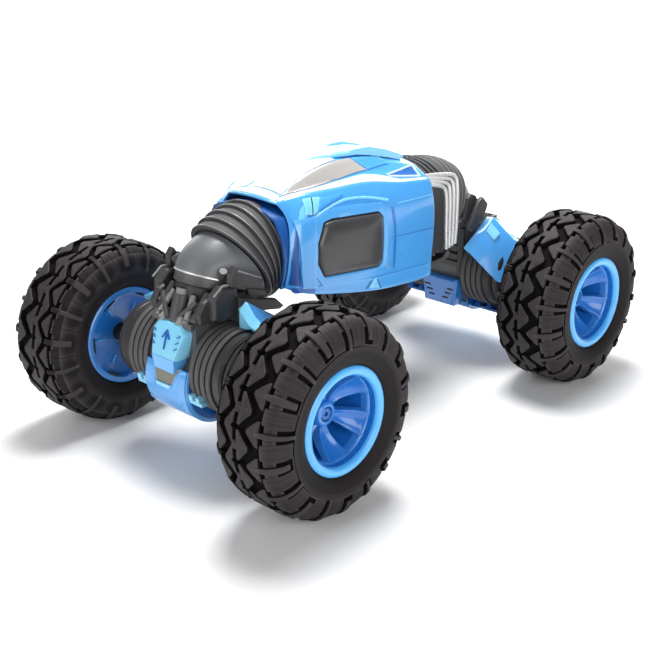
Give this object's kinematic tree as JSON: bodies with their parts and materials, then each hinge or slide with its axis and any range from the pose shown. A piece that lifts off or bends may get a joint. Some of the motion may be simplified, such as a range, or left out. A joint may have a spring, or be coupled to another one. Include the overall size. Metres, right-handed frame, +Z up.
{
  "type": "rc stunt car",
  "caption": "Double-sided radio controlled stunt car: a ringed elbow at each end of the body carries a gearbox and two big off-road wheels, and twists half round.",
  "frame": {"origin": "on the ground, midway between the four wheels", "axes": "+X towards the front, +Y to the car's left, +Z up"},
  "size_m": [0.316, 0.202, 0.1468],
  "materials": {
    "body_blue": "glossy",
    "rim_blue": "satin gloss",
    "window_black": "satin",
    "windscreen": "glossy",
    "neck_plastic": "satin",
    "frame_plastic": "matte",
    "bellows_rubber": "matte",
    "tyre_rubber": "matte",
    "motor_can": "brushed",
    "shaft_steel": "ground",
    "pinion_brass": "machined",
    "gear_nylon": "moulded",
    "battery_wrap": "shrink wrap",
    "board": "solder mask"
  },
  "bodies": {
    "chassis": {"chassis_tub": "body_blue", "body_shell": "body_blue", "windshield": "windscreen", "left_window": "window_black", "right_window": "window_black", "roof_fin": "body_blue", "front_elbow": "bellows_rubber", "rear_elbow": "bellows_rubber", "rear_cowl": "frame_plastic", "battery_pack": "battery_wrap", "control_board": "board", "twist_motor": "motor_can"},
    "twist_drive": {"twist_shaft": "shaft_steel"},
    "twist_motor_gear": {"twist_pinion": "pinion_brass"},
    "battery_cover": {"battery_door": "frame_plastic"},
    "switch_knob": {"power_switch": "frame_plastic"},
    "front_module": {"front_neck_housing": "neck_plastic", "front_gearbox_case": "frame_plastic", "front_chin_guard": "body_blue", "front_armour_yoke": "frame_plastic", "front_left_bellows": "bellows_rubber", "front_left_arm": "body_blue", "front_left_motor": "motor_can", "front_right_bellows": "bellows_rubber", "front_right_arm": "body_blue", "front_right_motor": "motor_can"},
    "rear_module": {"rear_neck_housing": "neck_plastic", "rear_gearbox_case": "frame_plastic", "rear_chin_guard": "body_blue", "rear_armour_yoke": "frame_plastic", "rear_left_bellows": "bellows_rubber", "rear_left_arm": "body_blue", "rear_left_motor": "motor_can", "rear_right_bellows": "bellows_rubber", "rear_right_arm": "body_blue", "rear_right_motor": "motor_can"},
    "front_left_wheel": {"front_left_tyre": "tyre_rubber", "front_left_rim": "rim_blue", "front_left_axle_shaft": "shaft_steel", "front_left_wheel_gear": "gear_nylon", "front_left_wheel_nut": "shaft_steel"},
    "front_left_drive": {"front_left_pinion": "pinion_brass"},
    "front_right_wheel": {"front_right_tyre": "tyre_rubber", "front_right_rim": "rim_blue", "front_right_axle_shaft": "shaft_steel", "front_right_wheel_gear": "gear_nylon", "front_right_wheel_nut": "shaft_steel"},
    "front_right_drive": {"front_right_pinion": "pinion_brass"},
    "rear_left_wheel": {"rear_left_tyre": "tyre_rubber", "rear_left_rim": "rim_blue", "rear_left_axle_shaft": "shaft_steel", "rear_left_wheel_gear": "gear_nylon", "rear_left_wheel_nut": "shaft_steel"},
    "rear_left_drive": {"rear_left_pinion": "pinion_brass"},
    "rear_right_wheel": {"rear_right_tyre": "tyre_rubber", "rear_right_rim": "rim_blue", "rear_right_axle_shaft": "shaft_steel", "rear_right_wheel_gear": "gear_nylon", "rear_right_wheel_nut": "shaft_steel"},
    "rear_right_drive": {"rear_right_pinion": "pinion_brass"}
  },
  "joints": [
    {"name": "front_twist", "type": "hinge", "parent": "chassis", "child": "front_module", "pos_m": [0.0871, 0, 0.09967], "axis": [0.848, 0, -0.5299], "range_deg": [0, 180]},
    {"name": "rear_twist", "type": "hinge", "parent": "chassis", "child": "rear_module", "pos_m": [-0.0752, 0, 0.10076], "axis": [0.8862, 0, 0.4633], "range_deg": [0, 180]},
    {"name": "twist_shaft_turn", "type": "hinge", "parent": "chassis", "child": "twist_drive", "pos_m": [0, 0, 0.104], "axis": [1, 0, 0], "range_deg": [0, 180]},
    {"name": "twist_motor_turn", "type": "hinge", "parent": "chassis", "child": "twist_motor_gear", "pos_m": [-0.012, 0.01386, 0.096], "axis": [1, 0, 0], "range_deg": [-540, 0]},
    {"name": "battery_door_hinge", "type": "hinge", "parent": "chassis", "child": "battery_cover", "pos_m": [0, -0.017, 0.072], "axis": [-1, 0, 0], "range_deg": [0, 85]},
    {"name": "power_switch_slide", "type": "slide", "parent": "chassis", "child": "switch_knob", "axis": [1, 0, 0], "range_m": [0, 0.003]},
    {"name": "front_left_wheel_spin", "type": "hinge", "parent": "front_module", "child": "front_left_wheel", "pos_m": [0.108, 0.079, 0.05], "axis": [0, 1, 0], "continuous": true},
    {"name": "front_left_motor_spin", "type": "hinge", "parent": "front_module", "child": "front_left_drive", "pos_m": [0.1005, 0.018, 0.06413], "axis": [0, 1, 0], "continuous": true},
    {"name": "front_right_wheel_spin", "type": "hinge", "parent": "front_module", "child": "front_right_wheel", "pos_m": [0.108, -0.079, 0.05], "axis": [0, 1, 0], "continuous": true},
    {"name": "front_right_motor_spin", "type": "hinge", "parent": "front_module", "child": "front_right_drive", "pos_m": [0.1155, -0.018, 0.06413], "axis": [0, 1, 0], "continuous": true},
    {"name": "rear_left_wheel_spin", "type": "hinge", "parent": "rear_module", "child": "rear_left_wheel", "pos_m": [-0.108, 0.079, 0.05], "axis": [0, 1, 0], "continuous": true},
    {"name": "rear_left_motor_spin", "type": "hinge", "parent": "rear_module", "child": "rear_left_drive", "pos_m": [-0.1155, 0.018, 0.06413], "axis": [0, 1, 0], "continuous": true},
    {"name": "rear_right_wheel_spin", "type": "hinge", "parent": "rear_module", "child": "rear_right_wheel", "pos_m": [-0.108, -0.079, 0.05], "axis": [0, 1, 0], "continuous": true},
    {"name": "rear_right_motor_spin", "type": "hinge", "parent": "rear_module", "child": "rear_right_drive", "pos_m": [-0.1005, -0.018, 0.06413], "axis": [0, 1, 0], "continuous": true}
  ],
  "couplings": [
    {"joint": "rear_twist", "follows": "front_twist", "ratio": 1},
    {"joint": "twist_shaft_turn", "follows": "front_twist", "ratio": 1},
    {"joint": "twist_motor_turn", "follows": "front_twist", "ratio": -3},
    {"joint": "front_left_motor_spin", "follows": "front_left_wheel_spin", "ratio": -3},
    {"joint": "front_right_motor_spin", "follows": "front_right_wheel_spin", "ratio": -3},
    {"joint": "rear_left_motor_spin", "follows": "rear_left_wheel_spin", "ratio": -3},
    {"joint": "rear_right_motor_spin", "follows": "rear_right_wheel_spin", "ratio": -3}
  ]
}
